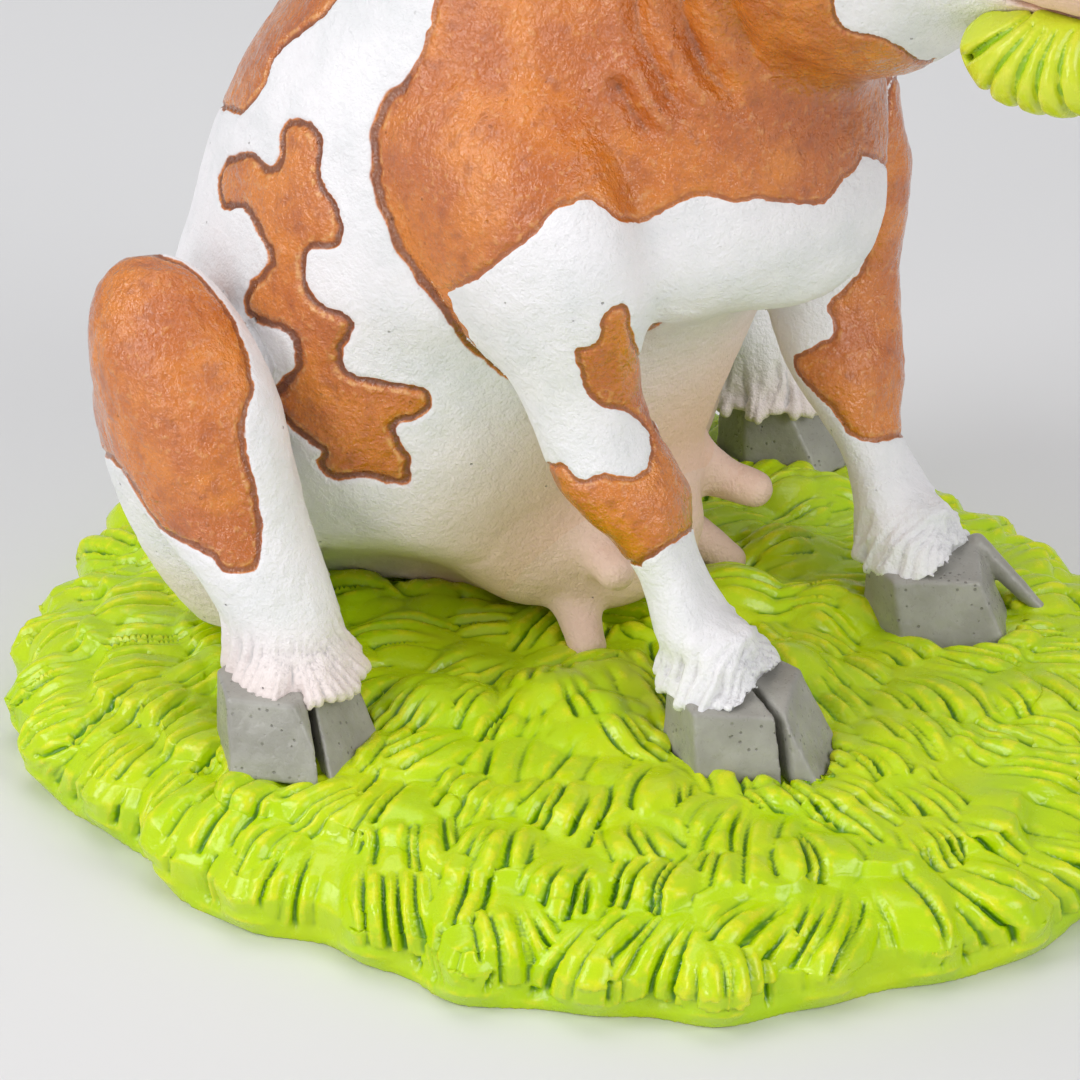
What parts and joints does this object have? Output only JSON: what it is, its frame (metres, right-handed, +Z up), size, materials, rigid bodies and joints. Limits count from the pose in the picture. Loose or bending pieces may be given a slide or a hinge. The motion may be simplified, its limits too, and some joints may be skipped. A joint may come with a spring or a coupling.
{
  "type": "cow figurine",
  "caption": "Painted figurine of a cow sitting upright on a round mound of sculpted grass, with grass in its mouth; stands on a flat underside as a shelf or table ornament.",
  "frame": {"origin": "on the mound's flat underside, below the cow's midline", "axes": "+Z up, the cow faces -Y and its left side is +X"},
  "size_m": [0.1365, 0.1496, 0.1511],
  "materials": {
    "coat_paint": "satin white paint with engraved reddish-brown patches",
    "grass_paint": "glossy lime green paint, yellow on the ridges",
    "fodder_paint": "glossy yellow-green paint",
    "udder_paint": "satin peach paint, sprayed over white",
    "tuft_paint": "satin reddish-brown paint",
    "horn_paint": "satin horn-coloured paint",
    "eye_gloss": "gloss black",
    "hoof_paint": "semi-gloss grey paint",
    "dowel_wood": "plain",
    "pin_steel": "plain"
  },
  "bodies": {
    "root": {"torso": "coat_paint", "head": "coat_paint", "ear_right": "coat_paint", "ear_left": "coat_paint", "foreleg_right": "coat_paint", "foreleg_left": "coat_paint", "hind_leg_right": "coat_paint", "hind_leg_left": "coat_paint", "tail": "coat_paint", "grass_base": "grass_paint", "mouth_grass": "fodder_paint", "udder": "udder_paint", "tail_tuft": "tuft_paint", "horn_right": "horn_paint", "horn_left": "horn_paint", "eye_right": "eye_gloss", "eye_left": "eye_gloss", "forehoof_right": "hoof_paint", "forehoof_left": "hoof_paint", "hind_hoof_right": "hoof_paint", "hind_hoof_left": "hoof_paint", "seat_dowels": "dowel_wood", "neck_dowel": "dowel_wood", "foreleg_dowels": "dowel_wood", "hind_leg_dowels": "dowel_wood", "hoof_pins": "pin_steel"}
  },
  "joints": []
}
